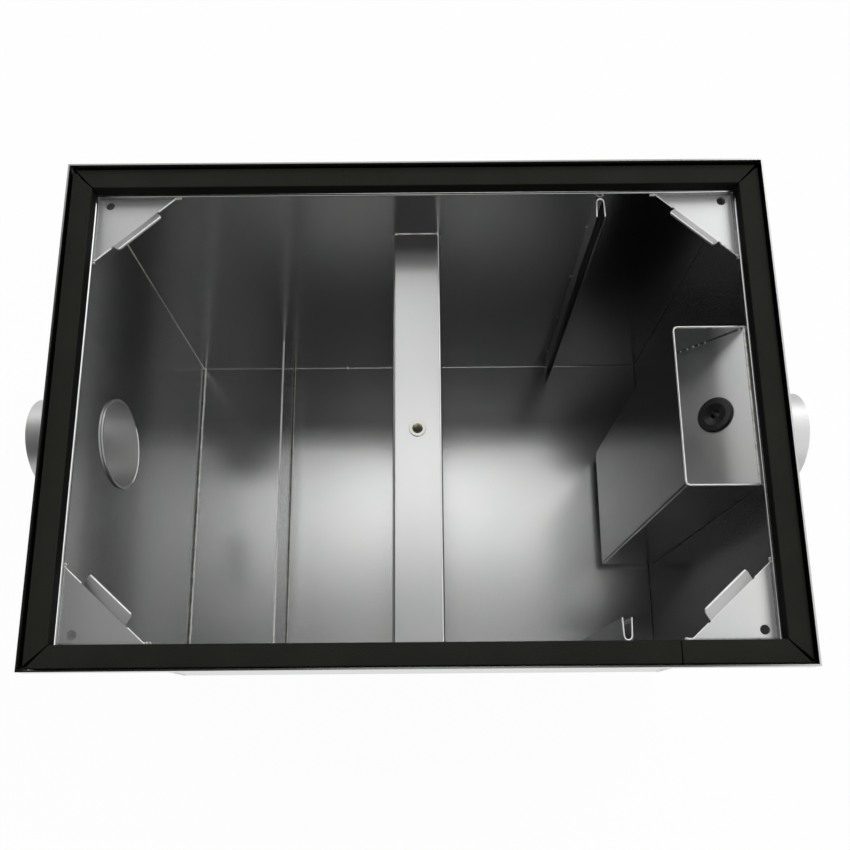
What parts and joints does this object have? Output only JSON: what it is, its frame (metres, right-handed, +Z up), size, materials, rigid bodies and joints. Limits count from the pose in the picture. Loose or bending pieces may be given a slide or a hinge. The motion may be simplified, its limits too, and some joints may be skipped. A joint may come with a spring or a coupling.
{
  "type": "grease trap",
  "caption": "Open stainless steel grease trap: folded sheet tank with gasketed rim, pipe stubs, sill, baffle guides, vented outlet box, crossbar and corner plates.",
  "frame": {"origin": "middle of the tank's underside", "axes": "+X from the inlet to the outlet, +Y from the front wall to the back wall, +Z up"},
  "size_m": [0.743, 0.4716, 0.3555],
  "materials": {
    "stainless_sheet": "satin stainless sheet",
    "stainless_pipe": "satin stainless pipe",
    "bright_sheet": "satin stainless plate",
    "foam_rubber": "matte closed-cell foam rubber",
    "grommet_rubber": "satin black rubber",
    "nut_steel": "plain steel insert"
  },
  "bodies": {
    "root": {"tank_wrapper": "stainless_sheet", "inlet_end_wall": "stainless_sheet", "outlet_end_wall": "stainless_sheet", "inlet_pipe": "stainless_pipe", "outlet_pipe": "stainless_pipe", "gasket_back": "foam_rubber", "gasket_inlet": "foam_rubber", "gasket_outlet": "foam_rubber", "gasket_front_long": "foam_rubber", "gasket_front_short": "foam_rubber", "corner_plate_back_inlet": "bright_sheet", "corner_plate_front_inlet": "bright_sheet", "corner_plate_back_outlet": "bright_sheet", "corner_plate_front_outlet": "bright_sheet", "crossbar": "bright_sheet", "rivet_nut": "nut_steel", "sill_baffle": "stainless_sheet", "guide_back": "stainless_sheet", "guide_front": "stainless_sheet", "outlet_box": "stainless_sheet", "outlet_hood_plate": "bright_sheet", "vent_grommet": "grommet_rubber"}
  },
  "joints": []
}
